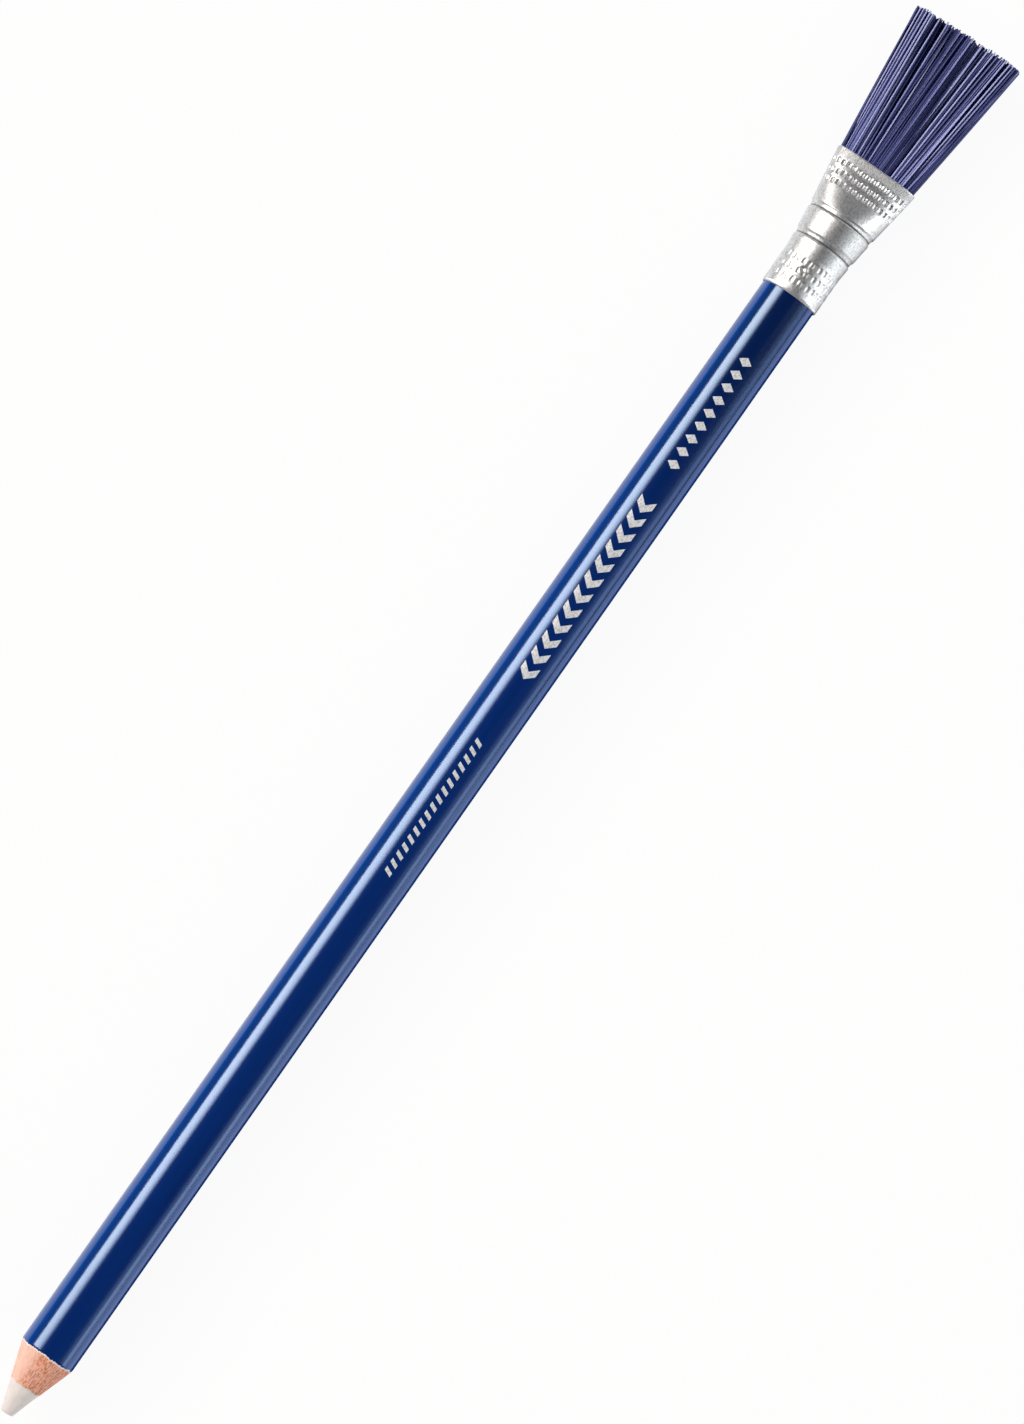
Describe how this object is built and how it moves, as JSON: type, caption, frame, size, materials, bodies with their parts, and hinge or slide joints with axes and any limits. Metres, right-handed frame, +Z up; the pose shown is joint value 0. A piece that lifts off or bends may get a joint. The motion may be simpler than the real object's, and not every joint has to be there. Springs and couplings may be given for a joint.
{
  "type": "eraser pencil",
  "caption": "Round wooden eraser pencil with a blue barrel, a sharpened eraser core at one end and a flat fan brush in a metal ferrule at the other.",
  "frame": {"origin": "bottom centre of the bounding box of the pencil as it lies on a table", "axes": "+X from the eraser point to the brush along the pencil's axis, +Y across the broad side of the brush, +Z up, with the broad side of the brush facing up"},
  "size_m": [0.202, 0.0151, 0.0088],
  "materials": {
    "eraser": "matt, slightly rubbed",
    "cedar": "bare sharpened wood with fine grain",
    "wood_glue": "thin dried glue film",
    "ground_paint": "pale ground coat",
    "blue_lacquer": "high gloss",
    "bright_aluminium": "bright, finely drawn",
    "brush_glue": "cured resin",
    "blue_filament": "satin extruded filament"
  },
  "bodies": {
    "root": {"eraser_core": "eraser", "upper_slat": "cedar", "lower_slat": "cedar", "slat_glue": "wood_glue", "ground_coat": "ground_paint", "barrel_lacquer": "blue_lacquer", "ferrule": "bright_aluminium", "tuft_glue": "brush_glue", "bristles": "blue_filament"}
  },
  "joints": []
}
